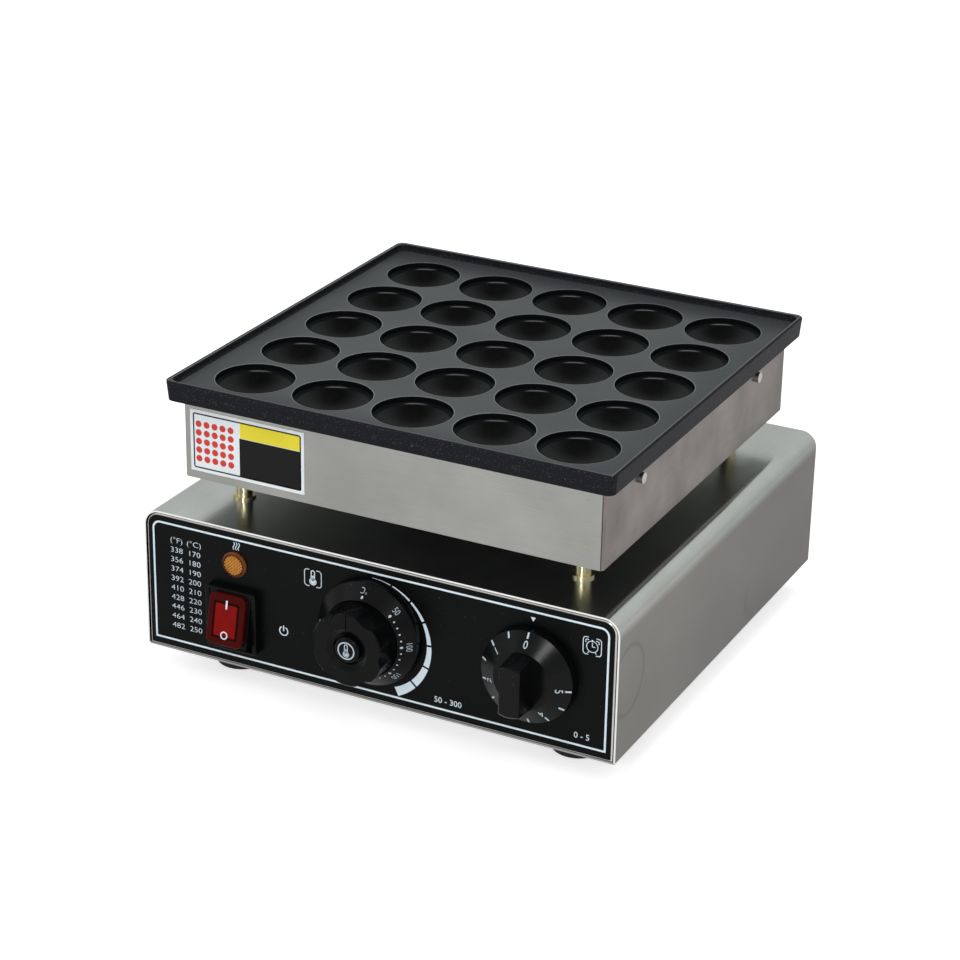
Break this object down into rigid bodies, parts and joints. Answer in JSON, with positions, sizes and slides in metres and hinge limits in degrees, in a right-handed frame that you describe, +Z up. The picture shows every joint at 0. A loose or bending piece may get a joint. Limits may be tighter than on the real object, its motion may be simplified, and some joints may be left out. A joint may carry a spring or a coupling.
{
  "type": "electric mini-pancake grill",
  "caption": "Countertop electric grill: a cast plate with a grid of shallow round hollows on a steel heater box, carried by posts over a control base with knobs, a rocker switch and a lamp.",
  "frame": {"origin": "on the table under the centre of the base", "axes": "+Z up, the control panel faces -Y, +X to the right when facing the panel"},
  "size_m": [0.3, 0.3522, 0.1831],
  "materials": {
    "brushed_steel": "brushed stainless sheet",
    "zinc_sheet": "zinc-coated sheet",
    "zinc_screw": "bright zinc",
    "brass": "satin pale brass",
    "coated_iron": "dark non-stick coating with fine speckle",
    "panel_film": "printed polyester film",
    "label_film": "blank sticker",
    "dark_plastic": "black moulded",
    "light_plastic": "grey moulded",
    "white_plastic": "white moulded",
    "red_lens": "clear red",
    "amber_lens": "clear amber",
    "black_rubber": "moulded rubber",
    "element_sheath": "heat-tinted steel",
    "copper": "bare copper",
    "ceramic_fibre": "white ceramic fibre",
    "wire_jacket": "silicone jacket"
  },
  "bodies": {
    "root": {"baking_plate": "coated_iron", "base_cover": "brushed_steel", "bottom_plate": "zinc_sheet", "cable_gland_body": "dark_plastic", "cable_gland_cap": "dark_plastic", "cable_gland_nut": "dark_plastic", "cable_gland_seal": "black_rubber", "clamp_screws": "zinc_screw", "control_panel": "brushed_steel", "control_wires": "wire_jacket", "cover_screws": "zinc_screw", "element_clamp_bars": "zinc_sheet", "element_leads": "wire_jacket", "foot_front_left": "black_rubber", "foot_front_right": "black_rubber", "foot_nuts": "zinc_screw", "foot_rear_left": "black_rubber", "foot_rear_right": "black_rubber", "foot_screws": "zinc_screw", "head_bottom_plate": "zinc_sheet", "head_front_panel": "brushed_steel", "head_insulation": "ceramic_fibre", "head_label": "label_film", "head_left_panel": "brushed_steel", "head_rear_panel": "brushed_steel", "head_right_panel": "brushed_steel", "heating_element_left": "element_sheath", "heating_element_right": "element_sheath", "lamp_body": "dark_plastic", "lamp_lens": "amber_lens", "panel_overlay": "panel_film", "plate_screws": "zinc_screw", "post_nuts_base": "zinc_screw", "post_nuts_head": "zinc_screw", "post_washers": "brass", "rear_panel": "brushed_steel", "support_post_front_left": "brass", "support_post_front_right": "brass", "support_post_rear_left": "brass", "support_post_rear_right": "brass", "switch_housing": "dark_plastic", "temperature_bezel": "dark_plastic", "terminal_block": "white_plastic", "terminal_screws": "brass", "thermostat_body": "dark_plastic", "thermostat_bulb": "copper", "thermostat_capillary": "copper", "thermostat_screws": "zinc_screw", "timer_body": "zinc_sheet", "timer_screws": "zinc_screw"},
    "temperature_knob": {"temperature_knob": "dark_plastic", "temperature_knob_cap": "light_plastic", "thermostat_shaft": "zinc_screw"},
    "timer_knob": {"timer_knob": "dark_plastic", "timer_shaft": "zinc_screw"},
    "power_rocker": {"rocker": "dark_plastic", "rocker_lens": "red_lens"}
  },
  "joints": [
    {"name": "temperature_turn", "type": "hinge", "parent": "root", "child": "temperature_knob", "pos_m": [0, -0.14725, 0.0639], "axis": [0, 1, 0], "range_deg": [0, 270]},
    {"name": "timer_turn", "type": "hinge", "parent": "root", "child": "timer_knob", "pos_m": [0.0987, -0.14725, 0.0623], "axis": [0, 1, 0], "range_deg": [0, 270]},
    {"name": "rocker_tilt", "type": "hinge", "parent": "root", "child": "power_rocker", "pos_m": [-0.0896, -0.14685, 0.05], "axis": [1, 0, 0], "range_deg": [0, 24]}
  ]
}
